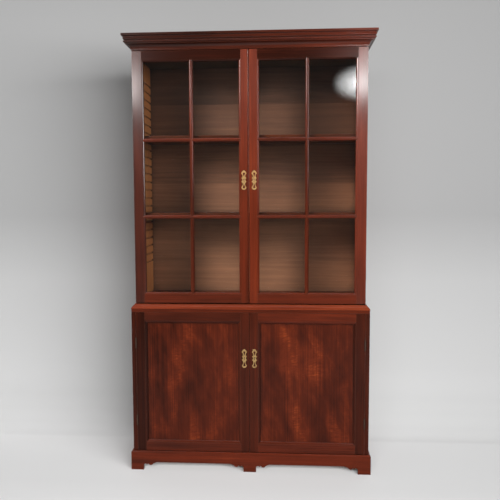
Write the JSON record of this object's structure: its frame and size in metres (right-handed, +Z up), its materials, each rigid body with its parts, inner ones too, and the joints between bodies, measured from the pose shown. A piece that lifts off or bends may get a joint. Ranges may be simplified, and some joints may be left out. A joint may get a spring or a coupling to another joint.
{
  "type": "bookcase",
  "caption": "Tall mahogany bookcase: glazed upper doors over grooved shelves, panelled cupboard doors below, moulded cornice and waist, bracket plinth.",
  "frame": {"origin": "on the floor, in the middle of the overall width and depth", "axes": "+Z up, -Y out of the front, +X to the right as seen from the front"},
  "size_m": [1.286, 0.388, 2.272],
  "materials": {
    "mahogany": "polished",
    "flame_mahogany": "polished",
    "back_wood": "stained",
    "pine": "bare",
    "glass": "old crown glass",
    "brass": "aged",
    "lock_brass": "dull",
    "steel": "dull"
  },
  "bodies": {
    "case": {"upper_side_right": "mahogany", "upper_side_left": "mahogany", "upper_top_board": "pine", "upper_bottom_board": "mahogany", "upper_base_rail": "pine", "upper_back_boards": "back_wood", "upper_shelves": "mahogany", "cornice_front": "mahogany", "cornice_returns": "mahogany", "cornice_frame": "pine", "lower_side_right": "mahogany", "lower_side_left": "mahogany", "lower_top_board": "mahogany", "lower_bottom_board": "pine", "lower_back_boards": "back_wood", "lower_shelf": "mahogany", "lower_bearers_and_stops": "mahogany", "waist_moulding": "mahogany", "plinth_front": "mahogany", "plinth_returns": "mahogany", "plinth_back_rail": "pine", "plinth_glue_blocks": "pine", "hinge_case_leaves": "brass", "hinge_pins": "brass"},
    "upper_left_door": {"upper_left_hanging_stile": "mahogany", "upper_left_meeting_stile": "mahogany", "upper_left_rails": "mahogany", "upper_left_glazing_bars": "mahogany", "upper_left_glass": "glass", "upper_left_escutcheon": "brass", "upper_left_hinge_leaves": "brass", "upper_left_bolt_plates": "lock_brass"},
    "upper_left_top_bolt": {"upper_left_top_bolt": "lock_brass"},
    "upper_left_bottom_bolt": {"upper_left_bottom_bolt": "lock_brass"},
    "upper_right_door": {"upper_right_hanging_stile": "mahogany", "upper_right_meeting_stile": "mahogany", "upper_right_rails": "mahogany", "upper_right_glazing_bars": "mahogany", "upper_right_glass": "glass", "upper_right_escutcheon": "brass", "upper_right_hinge_leaves": "brass", "upper_right_lock_case": "lock_brass"},
    "upper_right_lock_bolt": {"upper_right_lock_bolt": "steel"},
    "lower_left_door": {"lower_left_hanging_stile": "mahogany", "lower_left_meeting_stile": "mahogany", "lower_left_rails": "mahogany", "lower_left_panel": "flame_mahogany", "lower_left_escutcheon": "brass", "lower_left_hinge_leaves": "brass", "lower_left_bolt_plates": "lock_brass"},
    "lower_left_top_bolt": {"lower_left_top_bolt": "lock_brass"},
    "lower_left_bottom_bolt": {"lower_left_bottom_bolt": "lock_brass"},
    "lower_right_door": {"lower_right_hanging_stile": "mahogany", "lower_right_meeting_stile": "mahogany", "lower_right_rails": "mahogany", "lower_right_panel": "flame_mahogany", "lower_right_escutcheon": "brass", "lower_right_hinge_leaves": "brass", "lower_right_lock_case": "lock_brass"},
    "lower_right_lock_bolt": {"lower_right_lock_bolt": "steel"}
  },
  "joints": [
    {"name": "upper_left_door_hinge", "type": "hinge", "parent": "case", "child": "upper_left_door", "pos_m": [-0.6005, -0.1295, 1.54325], "axis": [0, 0, -1], "range_deg": [0, 170]},
    {"name": "upper_left_top_bolt_slide", "type": "slide", "parent": "upper_left_door", "child": "upper_left_top_bolt", "axis": [0, 0, 1], "range_m": [0, 0.012]},
    {"name": "upper_left_bottom_bolt_slide", "type": "slide", "parent": "upper_left_door", "child": "upper_left_bottom_bolt", "axis": [0, 0, -1], "range_m": [0, 0.012]},
    {"name": "upper_right_door_hinge", "type": "hinge", "parent": "case", "child": "upper_right_door", "pos_m": [0.6005, -0.1295, 1.54325], "axis": [0, 0, 1], "range_deg": [0, 170]},
    {"name": "upper_right_lock_bolt_slide", "type": "slide", "parent": "upper_right_door", "child": "upper_right_lock_bolt", "axis": [-1, 0, 0], "range_m": [0, 0.008]},
    {"name": "lower_left_door_hinge", "type": "hinge", "parent": "case", "child": "lower_left_door", "pos_m": [-0.598, -0.173, 0.4755], "axis": [0, 0, -1], "range_deg": [0, 170]},
    {"name": "lower_left_top_bolt_slide", "type": "slide", "parent": "lower_left_door", "child": "lower_left_top_bolt", "axis": [0, 0, 1], "range_m": [0, 0.012]},
    {"name": "lower_left_bottom_bolt_slide", "type": "slide", "parent": "lower_left_door", "child": "lower_left_bottom_bolt", "axis": [0, 0, -1], "range_m": [0, 0.012]},
    {"name": "lower_right_door_hinge", "type": "hinge", "parent": "case", "child": "lower_right_door", "pos_m": [0.598, -0.173, 0.4755], "axis": [0, 0, 1], "range_deg": [0, 170]},
    {"name": "lower_right_lock_bolt_slide", "type": "slide", "parent": "lower_right_door", "child": "lower_right_lock_bolt", "axis": [-1, 0, 0], "range_m": [0, 0.008]}
  ]
}
